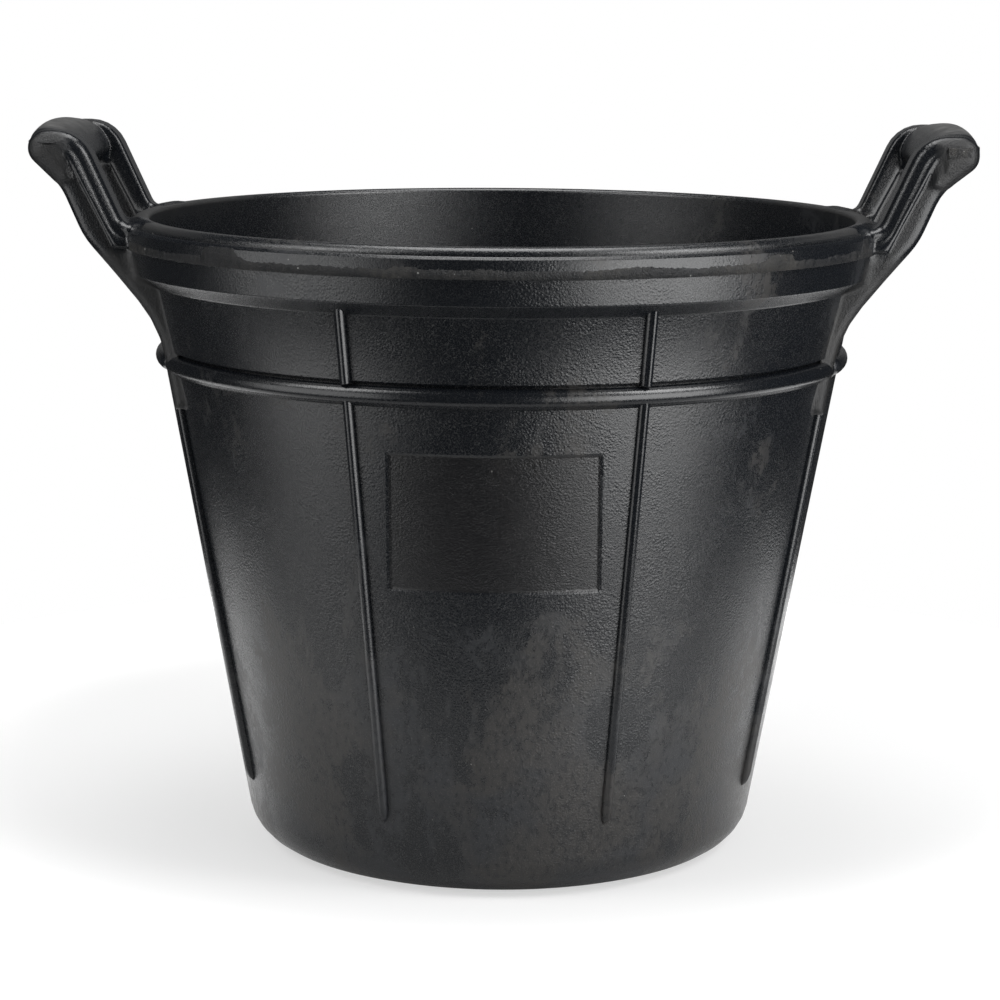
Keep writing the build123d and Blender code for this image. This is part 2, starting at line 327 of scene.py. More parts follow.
wallLook = {
    "specular": 0.7,
    "pebble": 0.8,
    "pebbleDeep": 0.09,
    "strewnLow": 0.25,
    "tooth": 1.7,
    "toothDeep": 0.12,
    "cloud": 0.02,
    "runs": 0.12,
    "dustFoot": 70.0,
    "dustTop": 190.0,
    "dustLow": 0.46,
    "dustHigh": 0.6,
    "film": 0.06,
    "pit": 0.4,
    "pitLow": 0.45,
    "roughLow": 0.25,
    "roughHigh": 0.42,
    "crumb": 0.06,
    # near-black rubber; the blue cast in it is a painted bluish sheen
    "skin": (0.0034, 0.0046, 0.0066),
    "bloomCool": (0.0142, 0.0158, 0.0188),
    "bloomWarm": (0.0232, 0.0217, 0.0204),
    "speckScale": 0.11,
    "speckSize": 0.045,
    "speckRagged": 0.9,
    "speckSoft": 1.45,
    "speckRare": 0.72,
    # the pale grey of the real specks, also used for the painted glints
    "speck": (0.2, 0.2, 0.19),
    "paintedGlint": 0.28,
    "masks": {
        "stipple": {"low": (0.004, 0.004, 0.0045), "high": (0.009, 0.009, 0.0095), "cover": 0.85,
                    "rough": 0.22, "brush": (1.0, 1.0, 1.0), "grain": 1.7, "deep": 0.05},
        "scuff": {"low": (0.012, 0.012, 0.012), "high": (0.05, 0.049, 0.047), "cover": 0.6,
                  "rough": 0.46, "brush": (1.0, 1.0, 1.0), "grain": 0.9, "deep": 0.25},
    },
}
wallRubber = rubberFinish("wallRubber", wallLook)
trimLook = dict(wallLook, pebbleDeep=0.02, toothDeep=0.05, paintedGlint=0.07, roughLow=0.24, masks={})
trimRubber = rubberFinish("trimRubber", trimLook)
collarLook = dict(trimLook, pebbleDeep=0.07, toothDeep=0.08, dustLow=0.58, dustHigh=0.58, roughLow=0.27,
                  roughHigh=0.38)
collarRubber = rubberFinish("collarRubber", collarLook)
tornLook = {"low": (0.005, 0.005, 0.005), "high": (0.014, 0.0137, 0.013), "cover": 0.5, "rough": 0.27,
            "brush": (1.0, 1.0, 1.0), "grain": 1.1, "deep": 0.14}
# the grip's top: real wear and brushing, made paler as well as a painted highlight from above
wearAndTopHighlightLook = {"low": (0.035, 0.035, 0.035), "high": (0.14, 0.139, 0.137), "cover": 0.85, "rough": 0.4,
            "brush": (0.22, 0.5, 0.22), "grain": 0.5, "deep": 0.06}
coarseLook = {"low": (0.004, 0.004, 0.004), "high": (0.01, 0.0098, 0.0094), "cover": 0.7, "rough": 0.5,
              "brush": (1.0, 1.0, 1.0), "grain": 0.9, "deep": 0.3}
handleLook = dict(collarLook, specular=0.55, pebbleDeep=0.05, toothDeep=0.05, roughLow=0.27, speckRare=0.8,
                  masks={"torn": tornLook, "wearAndTopHighlight": wearAndTopHighlightLook, "coarse": coarseLook})
handleRubber = rubberFinish("handleRubber", handleLook)
print("finishes made")


def paintShare(piece, name, values):
    layer = piece.data.attributes.new(name, "FLOAT", "POINT")
    layer.data.foreach_set("value", np.asarray(values, dtype=np.float32))


def vectorsOf(piece, kind):
    flat = np.empty(len(piece.data.vertices) * 3)
    piece.data.vertices.foreach_get(kind, flat)
    return flat.reshape(-1, 3)


# the vessel: floor, heel, wall and lip turned about the axis, with a shallow bare panel sunk in the front
vessel = {
    "segments": 1080,
    "weld": 0.01,
    "guard": 0.5,
    "heelRadius": 21.6,
    "innerHeelRadius": 17.0,
    "lipFoot": 304.0,
    "lipInset": 0.9,
    "lipRounding": 2.4,
    "lipOuterRounding": 4.5,
    "lipShoulder": 185.0,
    "shoulderDrop": 3.0,
    "grooveTop": 254.0,
    "grooveFoot": 250.5,
    "grooveDepth": 2.8,
    "panelWidth": 98.0,
    "panelHeight": 65.4,
    "panelCentre": 188.0,
    "panelDepth": 0.8,
    "panelEdge": 0.7,
    "leanFoot": (60.0, 120.0),
    "leanHead": (260.0, 300.0),
    "leanSine": 0.9,
    "skinDepth": 2.0,
}


def lipCorners():
    rim, foot, wall = bucket["rim"], vessel["lipFoot"], bucket["wall"]
    return [
        (vessel["lipShoulder"], bucket["ledge"] - vessel["shoulderDrop"], 0),
        (vessel["lipShoulder"], rim, vessel["lipOuterRounding"]),
        (wallRadius(rim) - vessel["lipInset"] - wall, rim, vessel["lipRounding"]),
        (wallRadius(foot) - wall, foot, 0),
    ]


def vesselProfile():
    low = vessel["panelCentre"] - vessel["panelHeight"] / 2
    high = vessel["panelCentre"] + vessel["panelHeight"] / 2
    edge, floor, lipFoot = vessel["panelEdge"] / 2, bucket["floor"], vessel["lipFoot"]
    rows = [end + step * edge for end in (low, high) for step in (-3, -1, 1, 3)]
    top, foot, depth = vessel["grooveTop"], vessel["grooveFoot"], vessel["grooveDepth"]
    corners = [
        (0, 0, 0),
        (bucket["baseRadius"], 0, vessel["heelRadius"]),
        *((wallRadius(row), row, 0) for row in rows),
        (wallRadius(foot), foot, 0.4),
        (wallRadius(foot) - depth, foot + 0.3, 0.5),
        (wallRadius(top) - depth, top - 0.5, 0.5),
        (wallRadius(top), top, 0.3),
        (wallRadius(lipFoot), lipFoot, 0),
        *lipCorners(),
        (wallRadius(floor) - bucket["wall"], floor, vessel["innerHeelRadius"]),
        (0, floor, 0),
    ]
    return roundedLine(corners, vessel["guard"])


def vesselTree():
    sizes = ["Panel Width", "Panel Height", "Panel Centre", "Panel Depth", "Panel Edge"]
    sizes += ["Base Radius", "Wall Slope"]
    tree, given, groupOut = newTree("vesselTurning", ["Segments"], sizes)
    value = given.outputs

    def calc(operation, *values):
        return mathNode(tree, operation, *values)

    swept = sweptRing(tree, value["Geometry"], value["Segments"])
    links = {"Geometry": swept, "Distance": vessel["weld"] * mm}
    merged = addNode(tree, "GeometryNodeMergeByDistance", links)
    position = addNode(tree, "GeometryNodeInputPosition").outputs[0]
    x, y, z = addNode(tree, "ShaderNodeSeparateXYZ", {0: position}).outputs
    across = calc("SQRT", calc("ADD", calc("MULTIPLY", x, x), calc("MULTIPLY", y, y)))
    angle = calc("ARCTAN2", x, calc("MULTIPLY", y, -1.0))
    turn = calc("ABSOLUTE", angle)
    step = calc("DIVIDE", math.tau, value["Segments"])
    halfWidth = calc("MULTIPLY", value["Panel Width"], 0.5)
    faceAtCentre = calc("MULTIPLY_ADD", value["Panel Centre"], value["Wall Slope"], value["Base Radius"])
    ideal = calc("ARCSINE", calc("DIVIDE", halfWidth, faceAtCentre))
    column = calc("MULTIPLY", calc("ROUND", calc("DIVIDE", ideal, step)), step)
    # columns lean so that one of them runs up each side of the panel
    wanted = calc("ARCSINE", calc("MINIMUM", calc("DIVIDE", halfWidth, across), vessel["leanSine"]))
    inside = mapRange(tree, turn, 0.0, column, 0.0, wanted)
    outside = mapRange(tree, turn, column, math.pi, wanted, math.pi)
    leaned = calc("ADD", inside, calc("SUBTRACT", outside, wanted))
    footFrom, footTo = (height * mm for height in vessel["leanFoot"])
    headFrom, headTo = (height * mm for height in vessel["leanHead"])
    aboveFoot = mapRange(tree, z, footFrom, footTo, smooth=True)
    belowHead = mapRange(tree, z, headFrom, headTo, 1.0, 0.0, smooth=True)
    share = calc("MULTIPLY", aboveFoot, belowHead)
    newTurn = calc("MULTIPLY_ADD", calc("SUBTRACT", leaned, turn), share, turn)
    newAngle = calc("MULTIPLY", newTurn, calc("SIGN", angle))
    # the panel is sunk between those columns
    sideMask = mapRange(tree, turn, column, calc("SUBTRACT", column, step))
    rise = calc("ABSOLUTE", calc("SUBTRACT", z, value["Panel Centre"]))
    halfHeight = calc("MULTIPLY", value["Panel Height"], 0.5)
    halfEdge = calc("MULTIPLY", value["Panel Edge"], 0.5)
    endMask = mapRange(tree, rise, calc("ADD", halfHeight, halfEdge), calc("SUBTRACT", halfHeight, halfEdge))
    face = calc("MULTIPLY_ADD", z, value["Wall Slope"], value["Base Radius"])
    outer = calc("GREATER_THAN", calc("SUBTRACT", across, face), -vessel["skinDepth"] * mm)
    mask = calc("MULTIPLY", calc("MULTIPLY", sideMask, endMask), outer)
    newAcross = calc("SUBTRACT", across, calc("MULTIPLY", mask, value["Panel Depth"]))
    newX = calc("MULTIPLY", newAcross, calc("SINE", newAngle))
    newY = calc("MULTIPLY", calc("MULTIPLY", newAcross, calc("COSINE", newAngle)), -1.0)
    moved = addNode(tree, "ShaderNodeCombineXYZ", {0: newX, 1: newY, 2: z}).outputs[0]
    shaped = addNode(tree, "GeometryNodeSetPosition", {"Geometry": merged.outputs[0], "Position": moved})
    closeTree(tree, groupOut, shaped.outputs[0], wallRubber)
    return tree


vesselPiece = grown("bucketVessel", sectionMesh("vesselLine", vesselProfile()), vesselTree(), {
    "Segments": vessel["segments"],
    "Panel Width": vessel["panelWidth"] * mm,
    "Panel Height": vessel["panelHeight"] * mm,
    "Panel Centre": vessel["panelCentre"] * mm,
    "Panel Depth": vessel["panelDepth"] * mm,
    "Panel Edge": vessel["panelEdge"] * mm,
    "Base Radius": bucket["baseRadius"] * mm,
    "Wall Slope": wallSlope,
})

# where the vessel's finish changes, in millimetres; a pair runs from none to all
vesselPaint = {
    "panelInset": 0.2,
    "behindFace": (1.5, 3.0),
    "aboveFloor": (4.0, 6.0),
    "lip": (305.0, 310.0),
    "besideHandle": (120.0, 168.0),
    "lipTop": (313.5, 315.5),
}


def paintVessel(piece):
    x, y, z = (vectorsOf(piece, "co") / mm).T
    depth = wallRadius(z) - np.hypot(x, y)
    halfWidth = vessel["panelWidth"] / 2 - vesselPaint["panelInset"]
    halfHeight = vessel["panelHeight"] / 2 - vesselPaint["panelInset"]
    inPanel = (np.abs(x) < halfWidth) & (y < 0) & (np.abs(z - vessel["panelCentre"]) < halfHeight)
    paintShare(piece, "stipple", inPanel & (depth < vessel["skinDepth"]))
    inside = smoothStep(*vesselPaint["behindFace"], depth) * smoothStep(*vesselPaint["aboveFloor"], z)
    paintShare(piece, "sleek", np.maximum(inside, smoothStep(*vesselPaint["lip"], z)))
    nearHandle = smoothStep(*vesselPaint["besideHandle"], np.abs(x))
    paintShare(piece, "scuff", nearHandle * smoothStep(*vesselPaint["lipTop"], z))


paintVessel(vesselPiece)
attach(vesselPiece, "bucket")
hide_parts("bucket_floor", "bucket_heel", "bucket_wall", "rim_lip")
print("vessel:", len(vesselPiece.data.polygons), "faces")


# the collar: two bands and a chamfer, swept round the wall
collar = {
    "segments": 720,
    "guard": 0.4,
    "upperRadius": 189.9,
    "ledgeRounding": 0.9,
    "upperFootRadius": 189.4,
    "upperFoot": 303.6,
    "lowerRadius": 187.8,
    "lowerFootRadius": 185.3,
    "lowerFoot": 291.0,
    "foot": 285.0,
    "footRounding": 3.0,
    "sunk": 2.5,
}


def collarFace():
    # corners of the bands' outer face, from the chamfer up to the ledge
    return [
        (collar["lowerFootRadius"], collar["lowerFoot"], 1.1),
        (collar["lowerRadius"], collar["upperFoot"] - 0.2, 0.5),
        (collar["upperFootRadius"], collar["upperFoot"], 0.4),
        (collar["upperRadius"], bucket["ledge"], collar["ledgeRounding"]),
    ]


def collarProfile():
    foot, sunk = collar["foot"], collar["sunk"]
    corners = [
        (wallRadius(foot) - sunk, foot - 1.0, 0),
        (wallRadius(foot - 1.0) - 0.25, foot - 1.0, 0),
        (wallRadius(foot) + 0.1, foot, collar["footRounding"]),
        *collarFace(),
        (vessel["lipShoulder"] - sunk, bucket["ledge"], 0),
    ]
    return roundedLine(corners, collar["guard"])


def collarTree():
    tree, given, groupOut = newTree("ringSweep", ["Segments"], [])
    swept = sweptRing(tree, given.outputs["Geometry"], given.outputs["Segments"])
    closeTree(tree, groupOut, swept, collarRubber)
    return tree


collarPiece = grown("rimCollar", sectionMesh("collarLine", collarProfile()), collarTree(),
                    {"Segments": collar["segments"]})
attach(collarPiece, "bucket")
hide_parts("rim_collar")
print("collar:", len(collarPiece.data.polygons), "faces")


# flash strip: the torn edge left along the foot of the upper band, with a ragged upper line
flash = {
    "columns": 1800,
    "foot": 303.35,
    "height": 4.1,
    "ragged": 0.55,
    "footRagged": 0.16,
    "proud": 0.1,
    "proudRagged": 0.04,
    "sunk": 1.0,
    "edge": 0.12,
    "ledgeGap": 0.7,
    "widest": 189.97,
    "seed": 7,
    # where the strip stands higher: degrees from the front, half width in degrees, rise
    "tongues": [(-41.5, 4.2, 5.5), (43.0, 3.6, 3.2), (66.5, 1.6, 5.0), (-12.0, 2.5, 1.4), (20.0, 5.0, 0.9),
                (138.0, 4.0, 5.0), (-118.0, 3.0, 3.6), (171.0, 5.0, 2.0)],
    "tongueRagged": 0.3,
    "tongueSteep": 2.2,
    "tongueSeed": 400,
}


def wander(count, octaves, seed):
    # closed run of noise round the rim, between about -1 and 1
    dice = np.random.default_rng(seed)
    around = np.linspace(0, math.tau, count, endpoint=False)
    total = np.zeros(count)
    for waves, size in octaves:
        for _ in range(6):
            total += size * np.sin(around * dice.integers(waves, waves * 2) + dice.uniform(0, math.tau)) / 3
    return total


def bandRadius(height):
    share = (height - collar["upperFoot"]) / (bucket["ledge"] - collar["upperFoot"])
    return collar["upperFootRadius"] + share * (collar["upperRadius"] - collar["upperFootRadius"])


def flashStrip():
    count, seed, edge = flash["columns"], flash["seed"], flash["edge"]
    degrees = np.linspace(-180, 180, count, endpoint=False)
    ragged = wander(count, [(9, 0.5), (40, 0.5), (150, 0.45), (330, 0.4)], seed)
    head = flash["foot"] + flash["height"] + flash["ragged"] * ragged
    for centre, half, rise in flash["tongues"]:
        shift = flash["tongueRagged"] * wander(count, [(120, 1.0)], int(centre) + flash["tongueSeed"])
        apart = (np.abs(degrees - centre) + shift) / half
        head = head + rise * np.clip(flash["tongueSteep"] * (1 - apart), 0, 1)
    head = np.minimum(head, bucket["ledge"] - flash["ledgeGap"])
    foot = flash["foot"] + flash["footRagged"] * wander(count, [(60, 0.6), (300, 0.7)], seed + 1)
    proud = flash["proud"] + flash["proudRagged"] * wander(count, [(80, 1.0)], seed + 2)
    # the strip's section: height, and how far it stands out of the band
    section = [
        (foot + 0.1, -flash["sunk"]),
        (foot, -edge),
        (foot + edge, proud),
        (head - edge, proud),
        (head, proud * 0.2),
        (head + 0.05, -0.6),
    ]
    angle = np.radians(degrees)
    rows = []
    for height, out in section:
        radius = np.minimum(bandRadius(height) + out, flash["widest"])
        rows.append(np.stack([radius * np.sin(angle), -radius * np.cos(angle), height], axis=1))
    return meshFrom("flashStrip", np.concatenate(rows) * mm, gridFaces(len(rows), count, True))


flashLook = dict(trimLook, specular=0.35, pebble=1.0, pebbleDeep=0.2, toothDeep=0.4, dustLow=0.5,
                 dustHigh=0.5, film=0.5, roughHigh=0.6, bloomCool=(0.02, 0.02, 0.0205),
                 bloomWarm=(0.034, 0.0325, 0.03), speckScale=0.24, speckSize=0.12, speckRare=0.82,
                 speck=(0.3, 0.3, 0.29))
flashRubber = rubberFinish("flashRubber", flashLook)
flashPiece = flashStrip()
flashPiece.data.materials.append(flashRubber)
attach(flashPiece, "bucket")
print("flash strip:", len(flashPiece.data.polygons), "faces")


# handles: one rubber skin each, worked out as a distance field so every joint has its moulded hollow
handle = {
    "cell": 0.75,
    "gridX": (138.0, 236.0),
    "gridY": 80.0,
    "gridZ": (221.0, 369.0),
    "farOff": 9.0,
    "fieldLimit": 2.0,
    "evening": (0.55, -0.57, 0.55, -0.57, 0.5),
    "armY": 53.0,
    "lean": 24.5,
    "hingeX": 196.967,
    "hingeZ": 324.0,
    "armHalf": 10.2,
    "bend": -11.7,
    "toeDrop": 2.4,
    "bandHalf": 11.0,
    "bandFoot": 304.4,
    "webHalf": 8.8,
    "webRound": 5.0,
    "webGrow": (288.0, 308.0),
    "gussetHalf": 6.5,
    "tilt": 8.5,
    "tiltTop": 303.5,
    "tiltBlend": 6.0,
    "gripTop": 360.2,
    "crestRound": 19.0,
    "noseRound": 8.5,
    "bandRound": 10.5,
    "bandWide": 19.0,
    "noseWide": 15.0,
    "noseDeep": 9.0,
    "noseRoot": 201.5,
    "noseBack": 212.6,
    "noseLow": 338.0,
    "slotEdge": 2.4,
    "slotHalf": 46.0,
    "slotTop": 341.5,
    "slotBack": 201.9,
    "span": 64.0,
    "arch": 3.0,
    "archSpan": 52.0,
    "barFoot": 328.0,
    "barBack": 5.5,
    "barRound": 18.0,
    "barNose": 7.2,
    "seam": 355.0,
    "seamGap": 0.4,
    "left": {"noseX": 227.2, "bow": 2.6, "noseFoot": 348.2, "noseHalf": 10.2,
             "landProud": 0.3, "landHigh": 0.7, "landStep": 0.5},
    "right": {"noseX": 229.0, "bow": 1.5, "noseFoot": 346.6, "noseHalf": 9.2,
              "landProud": 0.7, "landHigh": 4.6, "landStep": 1.5},
}
leanSin, leanCos = math.sin(math.radians(handle["lean"])), math.cos(math.radians(handle["lean"]))

# how softly the handle's members run into each other and into the rim, and where they end
melt = {
    "parting": 2.6,
    "bandFoot": 1.5,
    "window": 3.0,
    "seam": 1.0,
    "web": (0.2, 3.8),
    "webAcross": (204.0, 212.0),
    "webHeight": (352.0, 346.0),
    "grip": (1.0, 11.0),
    "gripDepth": (-1.0, -7.0),
    "gripSide": (53.0, 46.0),
    "wall": 1.0,
    "band": 4.0,
    "bandFrom": (283.0, 290.0),
    "bandTo": (300.5, 304.0),
    "lip": 7.4,
    "lipFrom": (310.5, 315.0),
    "rings": (120.0, 250.0, 0.35),
    "toeFrom": 306.0,
    "toeRadius": 184.5,
    "edgeSink": 0.14,
    "edgeFrom": (0.6, 0.97),
    "edgeCut": 0.98,
    "wallSunk": 1.8,
    "mouthGap": 4.4,
}


def polygonField(points, x, z):
    # signed distance to a closed outline on a grid, negative inside
    best = np.full(x.shape, 1e9)
    sign = np.ones(x.shape)
    count = len(points)
    for i in range(count):
        ax, az = points[i]
        bx, bz = points[(i + 1) % count]
        ex, ez = bx - ax, bz - az
        wx, wz = x - ax, z - az
        share = np.clip((wx * ex + wz * ez) / (ex * ex + ez * ez + 1e-12), 0, 1)
        dx, dz = wx - ex * share, wz - ez * share
        best = np.minimum(best, dx * dx + dz * dz)
        above, below = z >= az, z < bz
        left = ex * wz > ez * wx
        flip = (above & below & left) | (~above & ~below & ~left)
        sign = np.where(flip, -sign, sign)
    return sign * np.sqrt(best)


def meltMin(a, b, reach):
    near = np.maximum(reach - np.abs(a - b), 0) / reach
    return np.minimum(a, b) - near * near * reach / 4


def meltMax(a, b, reach):
    return -meltMin(-a, -b, reach)


def roundedSlab(flat, side, half, rounding):
    outX, outY = flat + rounding, side - half + rounding
    reach = np.sqrt(np.maximum(outX, 0) ** 2 + np.maximum(outY, 0) ** 2)
    return np.minimum(np.maximum(outX, outY), 0) + reach - rounding


def drawnIn(side, half, wide, rounding):
    # sideways distance drawn in, so that a rounding runs wider than it is deep
    return (side - half + wide) * rounding / wide + half - rounding


def bucketSection():
    # the vessel's and collar's section, for melting the handles into it
    low, foot, lipFoot, wall = 200.0, collar["foot"], vessel["lipFoot"], bucket["wall"]
    corners = [
        (wallRadius(low) - wall, low, 0),
        (wallRadius(low), low, 0),
        (wallRadius(foot), foot, collar["footRounding"]),
        *collarFace(),
        (vessel["lipShoulder"], bucket["ledge"], 0),
        (wallRadius(lipFoot) - wall, lipFoot, 0),
    ]
    return roundedLine(corners), roundedLine(lipCorners())


def handleLines(end):
    # outlines in side view: whole, band, bar, parting line and the slot's upper end
    h = handle

    def armPoint(along, out):
        return (h["hingeX"] + along * leanSin + out * leanCos, h["hingeZ"] + along * leanCos - out * leanSin)

    noseX, top, seam, back = end["noseX"], h["gripTop"], h["seam"], h["barBack"]
    root, far, high = 140.0, 260.0, 400.0
    flank = armPoint(0, -h["armHalf"])
    crest = (flank[0] + (top - flank[1]) * leanSin / leanCos, top)
    toeHeight = bucket["rim"] - h["toeDrop"]
    toe = (flank[0] - (flank[1] - toeHeight) * leanSin / leanCos, toeHeight)
    bend = armPoint(h["bend"], h["armHalf"])
    throat, chin = (211.9, 333.4, 26.0), (noseX, end["noseFoot"], 8.0)
    overTop = [(noseX, top, h["noseRound"]), (*crest, h["crestRound"]), (*toe, 6.0), (root, toeHeight, 0)]
    # side view of web, gusset and nose together
    side = roundedLine([
        (root, 226.6, 0), (157.0, 226.6, 0.8), (164.9, 266.3, 60.0), (*bend, 40.0), throat, chin, *overTop,
    ])
    # the same inner line carried outwards, for the band
    inner = roundedLine([
        (root, 260.0, 0), (far, 260.0, 0), (far, 300.0, 0), (noseX, 330.0, 0), *overTop,
    ])
    # the bar between the arms lies further out, rounds over more, and bows out and up to its middle
    bar = roundedLine([
        (root, 300.0, 0), (190.0, 300.0, 0), throat, chin, (noseX, top, h["barNose"]),
        (crest[0] + back, top, h["barRound"]), (toe[0] + back, toeHeight, 0), (root, toeHeight, 0),
    ])
    # band side of the parting line
    parting = [
        (120.0, high), (120.0, 180.0), (155.0, 240.0), (188.5, 308.0), (193.4, 318.0), (202.0, 334.7),
        (206.6, 344.0), (209.3, 348.6), (213.0, 352.0), (218.0, seam - 0.6), (240.0, seam), (240.0, high),
    ]
    slotTop, slotBack = h["slotTop"], h["slotBack"]
    window = roundedLine([
        (far, slotTop, 0), (far, high, 0), (slotBack, high, 0), (slotBack, slotTop, 8.0), (259.0, slotTop, 0),
    ])
    return side, inner, bar, parting, window


def wallField(across, zs):
    # distance to the bucket's section, worked out on rings and read off at each point
    ringStart, ringEnd, ringStep = melt["rings"]
    rs = np.arange(ringStart, ringEnd, ringStep)
    ringR, ringZ = np.meshgrid(rs, zs, indexing="ij")
    section = np.minimum(*(polygonField(line, ringR, ringZ) for line in bucketSection()))
    spot = np.clip((across - rs[0]) / ringStep, 0, len(rs) - 1.001)
    low = spot.astype(int)
    part = spot - low
    level = np.arange(len(zs))[None, None, :]
    return section[low, level] * (1 - part) + section[low + 1, level] * part


def handleField(end):
    h = handle
    cell, seam = h["cell"], h["seam"]
    xs = np.arange(*h["gridX"], cell)
    ys = np.arange(cell / 2, h["gridY"], cell)
    zs = np.arange(*h["gridZ"], cell)
    side, inner, bar, parting, window = handleLines(end)
    flatX, flatZ = np.meshgrid(xs, zs, indexing="ij")
    lines = (side, inner, parting, window)
    sideFlat, innerFlat, partFlat, windowFlat = (polygonField(n, flatX, flatZ)[:, None, :] for n in lines)
    x, y, z = xs[:, None, None], ys[None, :, None], zs[None, None, :]
    # the web, which leans sideways and narrows towards the gusset's foot
    drop, soft = h["tiltTop"] - z, h["tiltBlend"]
    fall = np.where(drop > soft, drop, np.where(drop < -soft, 0, (drop + soft) ** 2 / (4 * soft)))
    beside = y - h["armY"] - fall * math.tan(math.radians(h["tilt"]))
    webHalf = h["gussetHalf"] + (h["webHalf"] - h["gussetHalf"]) * smoothStep(*h["webGrow"], z)
    web = roundedSlab(sideFlat, np.abs(beside), webHalf, h["webRound"])
    # the band, rounded broadly outside and tightly towards the slot
    armSide = y - h["armY"]
    wide, rounding = h["bandWide"], h["bandRound"]
    slotSide = armSide < h["bandHalf"] - wide
    outSide = drawnIn(armSide, h["bandHalf"], wide, rounding)
    bandRound = np.where(slotSide, h["slotEdge"], rounding)
    band = roundedSlab(innerFlat, np.where(slotSide, -armSide, outSide), h["bandHalf"], bandRound)
    band = meltMax(meltMax(band, partFlat, melt["parting"]), h["bandFoot"] - z, melt["bandFoot"])
    # the grip's bar above the slot
    bowed = 1 - np.minimum(y / h["span"], 1) ** 2
    arched = 1 - np.minimum(y / h["archSpan"], 1) ** 2
    upper = zs > h["barFoot"]
    barFlat = np.full((len(xs), len(ys), len(zs)), h["farOff"])
    barX, barZ = np.broadcast_arrays(x - end["bow"] * bowed, z[:, :, upper] - h["arch"] * arched)
    barFlat[:, :, upper] = polygonField(bar, barX, barZ)
    grip = roundedSlab(barFlat, drawnIn(y, h["span"], wide, rounding), h["span"], rounding)
    grip = meltMax(grip, windowFlat, melt["window"])
    grip = np.maximum(grip, np.minimum(np.minimum(partFlat, h["noseBack"] - x), y - h["slotHalf"]))
    # the nose under the parting
    span = h["armY"] + end["noseHalf"]
    noseFlat = np.maximum(sideFlat, np.where(y > h["slotHalf"], h["noseRoot"], h["noseBack"]) - x)
    nose = roundedSlab(noseFlat, drawnIn(y, span, h["noseWide"], h["noseDeep"]), span, h["noseDeep"])
    nose = np.maximum(meltMax(nose, z - seam + h["seamGap"], melt["seam"]), h["noseLow"] - z)
    # all of them together
    hollow = np.maximum(smoothStep(*melt["webAcross"], x), smoothStep(*melt["webHeight"], z))
    arm = np.minimum(band, meltMin(web, nose, melt["web"][0] + melt["web"][1] * hollow))
    deep = smoothStep(*melt["gripDepth"], np.maximum(innerFlat, barFlat)) * smoothStep(*melt["gripSide"], y)
    body = meltMin(arm, grip, melt["grip"][0] + melt["grip"][1] * deep)
    # melt into wall, collar and lip, and keep only the handle and its hollow
    across = np.sqrt(x * x + y * y)
    wall = wallField(across, zs)
    toe = np.where(z > melt["toeFrom"], melt["toeRadius"] - across, -h["farOff"])
    body = np.maximum(body, toe)  # the toe ends under the lip
    onBand = smoothStep(*melt["bandFrom"], z) - smoothStep(*melt["bandTo"], z)
    reach = melt["wall"] + melt["band"] * onBand + melt["lip"] * smoothStep(*melt["lipFrom"], z)
    skin = meltMin(body, wall, reach)
    skin = skin + melt["edgeSink"] * smoothStep(*melt["edgeFrom"], body / reach)
    mouth = wallRadius(z) - melt["mouthGap"] - across  # nothing stands inside the mouth
    kept = np.maximum(-wall - melt["wallSunk"], body - melt["edgeCut"] * reach)
    return xs, ys, zs, np.maximum(np.maximum(skin, mouth), kept)


# where the handle's finish changes; a pair runs from none to all, and a share is the most it reaches
handlePaint = {
    "facingSide": (0.75, 0.92),
    "pastBand": (-0.6, 0.6),
    "pastEdge": (4.5, 6.0),
    "slotSide": (44.5, 41.5),
    "slotEdge": (2.0, 5.0),
    "slotShare": 0.32,
    "gusset": (305.0, 297.0),
    "noseAcross": (206.0, 212.0),
    "noseHeight": (330.0, 336.0),
    "noseFacing": (0.3, 0.7),
    "noseShare": 0.85,
    "topHeight": (346.0, 356.0),
    "topFacing": (0.2, 0.7),
    "topAcross": (203.0, 219.0),
    "topSide": (51.0, 38.0),
}


def paintHandle(piece, end):
    # torn web, coarse gussets and nose sides, and the worn top of the grip, made paler where it faces up as a
    # painted highlight from above
    p = handlePaint
    x, y, z = np.abs(vectorsOf(piece, "co") / mm).T
    normals = vectorsOf(piece, "normal")
    facing = np.abs(normals[:, 1])
    outline, parting = handleLines(end)[0], handleLines(end)[3]
    fromEdge = -polygonField(outline, x, z)
    fromBand = polygonField(parting, x, z)
    sideways = smoothStep(*p["facingSide"], facing)
    torn = smoothStep(*p["pastBand"], fromBand) * smoothStep(*p["pastEdge"], fromEdge) * sideways
    inSlot = smoothStep(*p["slotSide"], y) * sideways * smoothStep(*p["slotEdge"], fromEdge)
    paintShare(piece, "torn", np.maximum(torn, inSlot * p["slotShare"]))
    onNose = smoothStep(*p["noseAcross"], x) * smoothStep(*p["noseHeight"], z)
    onNose = onNose * smoothStep(*p["noseFacing"], facing)
    paintShare(piece, "coarse", np.maximum(smoothStep(*p["gusset"], z), onNose * p["noseShare"]))
    # the upward-facing top of the grip is painted paler: partly wear, partly a painted highlight from above
    wearAndTopHighlight = smoothStep(*p["topHeight"], z) * smoothStep(*p["topFacing"], normals[:, 2])
    wearAndTopHighlight = wearAndTopHighlight * smoothStep(*p["topAcross"], x)
    paintShare(piece, "wearAndTopHighlight", wearAndTopHighlight * smoothStep(*p["topSide"], y))


def evened(points, quads):
    # takes the ripple of the grid out of the skin without shrinking it
    pairs = np.concatenate([quads[:, [0, 1]], quads[:, [1, 2]], quads[:, [2, 3]], quads[:, [3, 0]]])
    here, there = pairs.T
    count = np.bincount(here, minlength=len(points))[:, None]
    for step in handle["evening"]:
        total = [np.bincount(here, points[there, axis], len(points)) for axis in range(3)]
        points = points + step * (np.stack(total, axis=1) / count - points)
    return points


